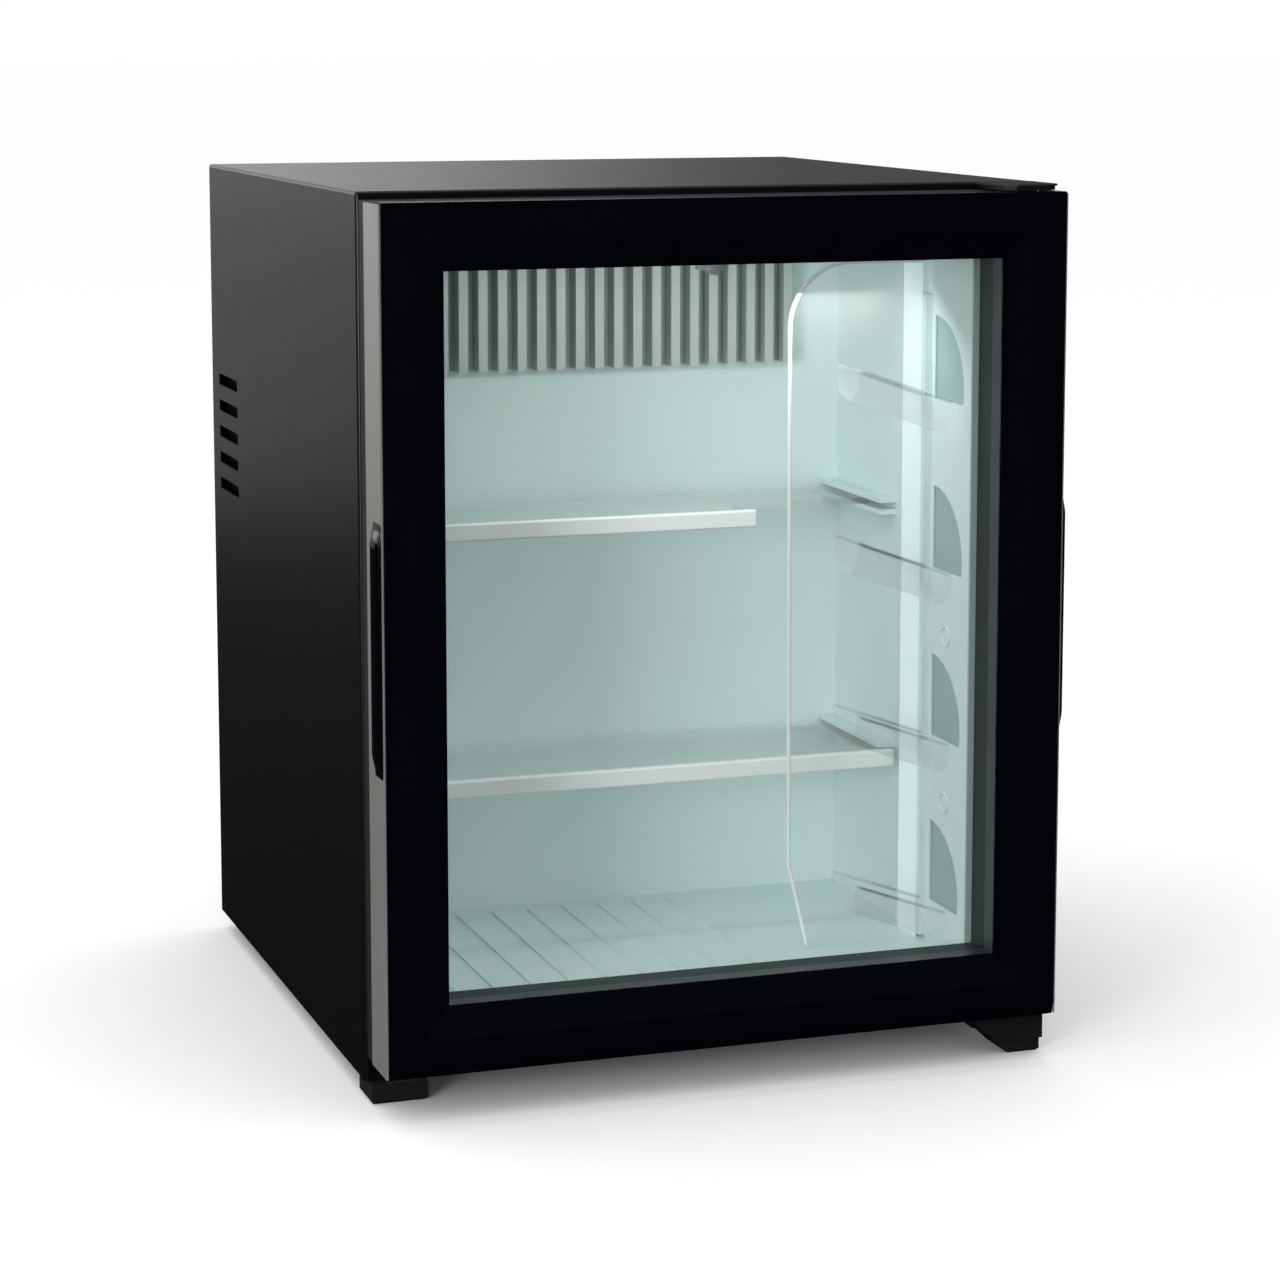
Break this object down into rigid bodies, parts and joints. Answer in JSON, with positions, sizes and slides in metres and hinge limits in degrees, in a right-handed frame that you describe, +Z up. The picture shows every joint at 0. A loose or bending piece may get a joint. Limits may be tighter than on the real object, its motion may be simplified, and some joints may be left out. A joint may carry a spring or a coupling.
{
  "type": "mini fridge",
  "caption": "Glass-door mini fridge with a dark steel cabinet, right-hung double-glazed door, pull-out shelves, a cradle rack for miniature bottles and a fan-cooled thermoelectric rear unit.",
  "frame": {"origin": "middle of the footprint, on the floor under the feet", "axes": "+X to the right seen from the door side (the hinge side), +Y from the door to the back, +Z up"},
  "size_m": [0.426, 0.462, 0.532],
  "materials": {
    "shell_paint": "satin dark grey paint",
    "liner_white": "semi-gloss white",
    "foam": "rigid foam",
    "clear_plastic": "clear moulded plastic",
    "lip_white": "gloss white trim",
    "door_black": "high-gloss black",
    "satin_silver": "satin silver",
    "window_glass": "clear",
    "spacer_grey": "dark grey",
    "gasket_rubber": "soft dark rubber",
    "bracket_black": "black powder coat",
    "pin_steel": "bright steel",
    "screw_steel": "zinc plated",
    "fin_aluminium": "clear anodised",
    "black_plastic": "matt black",
    "foot_rubber": "black rubber",
    "board_green": "circuit board",
    "module_ceramic": "white ceramic",
    "rear_steel": "grey paint",
    "base_steel": "galvanised",
    "lamp_diffuser": "opal",
    "dial_grey": "grey"
  },
  "bodies": {
    "cabinet": {"outer_shell": "shell_paint", "base_panel": "base_steel", "front_rim": "liner_white", "inner_liner": "liner_white", "insulation_foam": "foam", "lamp_housing": "liner_white", "lamp_lens": "lamp_diffuser", "bottle_rack": "clear_plastic", "cold_plate": "fin_aluminium", "cold_block": "fin_aluminium", "thermoelectric_module": "module_ceramic", "hot_sink": "fin_aluminium", "fan_frame": "black_plastic", "fan_guard": "pin_steel", "control_board": "board_green", "rear_cover": "rear_steel", "power_inlet": "black_plastic", "foot_front_left": "foot_rubber", "foot_front_right": "foot_rubber", "foot_rear_left": "foot_rubber", "foot_rear_right": "foot_rubber", "lower_hinge_bracket": "bracket_black", "lower_hinge_pin": "pin_steel", "lower_hinge_screws": "screw_steel", "upper_hinge_bracket": "bracket_black", "upper_hinge_pin": "pin_steel", "upper_hinge_cap": "black_plastic"},
    "door": {"door_bezel": "door_black", "outer_glass": "window_glass", "inner_glass": "window_glass", "glass_spacer": "spacer_grey", "door_back_frame": "black_plastic", "hinge_bush_lower": "black_plastic", "hinge_bush_upper": "black_plastic", "door_gasket": "gasket_rubber", "side_trim_left": "satin_silver", "side_trim_right": "satin_silver", "finger_grip_left": "door_black", "finger_grip_right": "door_black"},
    "lower_shelf": {"lower_shelf_plate": "clear_plastic", "lower_shelf_lip": "lip_white"},
    "upper_shelf": {"upper_shelf_plate": "clear_plastic", "upper_shelf_lip": "lip_white"},
    "rotor": {"fan_rotor": "black_plastic"},
    "dial": {"thermostat_dial": "dial_grey"}
  },
  "joints": [
    {"name": "door_hinge", "type": "hinge", "parent": "cabinet", "child": "door", "pos_m": [0.202, -0.206, 0.2], "axis": [0, 0, 1], "range_deg": [0, 110]},
    {"name": "lower_shelf_slide", "type": "slide", "parent": "cabinet", "child": "lower_shelf", "axis": [0, -1, 0], "range_m": [0, 0.008]},
    {"name": "upper_shelf_slide", "type": "slide", "parent": "cabinet", "child": "upper_shelf", "axis": [0, -1, 0], "range_m": [0, 0.05]},
    {"name": "fan_spin", "type": "hinge", "parent": "cabinet", "child": "rotor", "pos_m": [0, 0.133, 0.445], "axis": [0, 1, 0], "continuous": true},
    {"name": "thermostat_turn", "type": "hinge", "parent": "cabinet", "child": "dial", "pos_m": [0.021, -0.134, 0.48], "axis": [0, 0, 1], "range_deg": [0, 270]}
  ]
}
